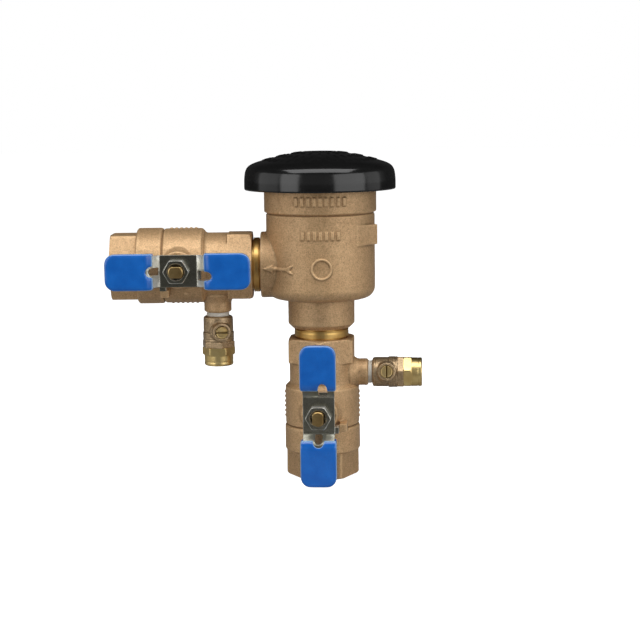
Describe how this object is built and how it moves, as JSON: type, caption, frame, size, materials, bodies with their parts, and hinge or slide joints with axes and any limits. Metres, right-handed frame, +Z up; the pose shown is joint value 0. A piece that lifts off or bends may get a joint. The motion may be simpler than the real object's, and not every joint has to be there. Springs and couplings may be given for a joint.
{
  "type": "backflow preventer",
  "caption": "Pressure vacuum breaker backflow preventer: upright cast bronze body under a black canopy, with quarter-turn shutoff valves at inlet and outlet and small test cocks.",
  "frame": {"origin": "centre of the inlet end face, where the supply pipe enters from below", "axes": "+Z up along the inlet and the breaker body, -X out of the outlet, -Y toward the handles (the front)"},
  "size_m": [0.1903, 0.0924, 0.2003],
  "materials": {
    "cast_bronze": "satin",
    "yellow_brass": "satin",
    "zinc_plate": "polished",
    "blue_vinyl": "satin",
    "canopy_plastic": "gloss",
    "moulded_plastic": "satin",
    "ptfe": "satin",
    "thread_tape": "matte",
    "seal_rubber": "matte",
    "spring_steel": "satin",
    "ball_chrome": "polished"
  },
  "bodies": {
    "breaker": {"body_casting": "cast_bronze", "inlet_nipple": "yellow_brass", "outlet_nipple": "yellow_brass", "check_seat": "moulded_plastic", "check_seat_oring": "seal_rubber", "check_guide": "moulded_plastic", "check_spring": "spring_steel", "bonnet": "moulded_plastic", "bonnet_oring": "seal_rubber", "canopy": "canopy_plastic", "air_spring": "spring_steel", "inlet_valve_body": "cast_bronze", "inlet_valve_end": "cast_bronze", "inlet_ball_seats": "ptfe", "inlet_stem_packing": "ptfe", "inlet_stem_gland": "yellow_brass", "inlet_cock_body": "cast_bronze", "inlet_cock_end": "yellow_brass", "inlet_cock_seats": "ptfe", "inlet_cock_oring": "seal_rubber", "inlet_cock_tape": "thread_tape", "outlet_valve_body": "cast_bronze", "outlet_valve_end": "cast_bronze", "outlet_ball_seats": "ptfe", "outlet_stem_packing": "ptfe", "outlet_stem_gland": "yellow_brass", "outlet_cock_body": "cast_bronze", "outlet_cock_end": "yellow_brass", "outlet_cock_seats": "ptfe", "outlet_cock_oring": "seal_rubber", "outlet_cock_tape": "thread_tape"},
    "inlet_handle_set": {"inlet_ball": "ball_chrome", "inlet_stem": "yellow_brass", "inlet_handle": "zinc_plate", "inlet_handle_grips": "blue_vinyl", "inlet_handle_nut": "zinc_plate"},
    "outlet_handle_set": {"outlet_ball": "ball_chrome", "outlet_stem": "yellow_brass", "outlet_handle": "zinc_plate", "outlet_handle_grips": "blue_vinyl", "outlet_handle_nut": "zinc_plate"},
    "inlet_cock_plug": {"inlet_cock_ball": "ball_chrome", "inlet_cock_stem": "yellow_brass"},
    "outlet_cock_plug": {"outlet_cock_ball": "ball_chrome", "outlet_cock_stem": "yellow_brass"},
    "check_valve": {"check_poppet": "moulded_plastic", "check_disc": "seal_rubber", "check_washer": "spring_steel", "check_screw": "spring_steel"},
    "air_inlet_valve": {"air_poppet": "moulded_plastic", "air_seal": "seal_rubber", "air_retainer": "spring_steel"}
  },
  "joints": [
    {"name": "inlet_handle_turn", "type": "hinge", "parent": "breaker", "child": "inlet_handle_set", "pos_m": [0, 0, 0.042], "axis": [0.0698, 0.9976, 0], "range_deg": [0, 90]},
    {"name": "outlet_handle_turn", "type": "hinge", "parent": "breaker", "child": "outlet_handle_set", "pos_m": [-0.0857, 0, 0.1312], "axis": [0, 1, 0], "range_deg": [0, 90]},
    {"name": "inlet_test_cock_turn", "type": "hinge", "parent": "breaker", "child": "inlet_cock_plug", "pos_m": [0.0403, -0.00282, 0.0639], "axis": [-0.0688, -0.9839, 0.165], "range_deg": [0, 90]},
    {"name": "outlet_test_cock_turn", "type": "hinge", "parent": "breaker", "child": "outlet_cock_plug", "pos_m": [-0.0638, 0, 0.0908], "axis": [0.2334, -0.9724, 0], "range_deg": [0, 90]},
    {"name": "check_poppet_lift", "type": "slide", "parent": "breaker", "child": "check_valve", "axis": [0, 0, 1], "range_m": [0, 0.008], "stiffness_N_per_m": 300, "springref_m": -0.0122, "deforming": ["check_spring"]},
    {"name": "air_inlet_lift", "type": "slide", "parent": "breaker", "child": "air_inlet_valve", "axis": [0, 0, 1], "range_m": [0, 0.008], "stiffness_N_per_m": 40, "springref_m": -0.008, "deforming": ["air_spring"]}
  ]
}
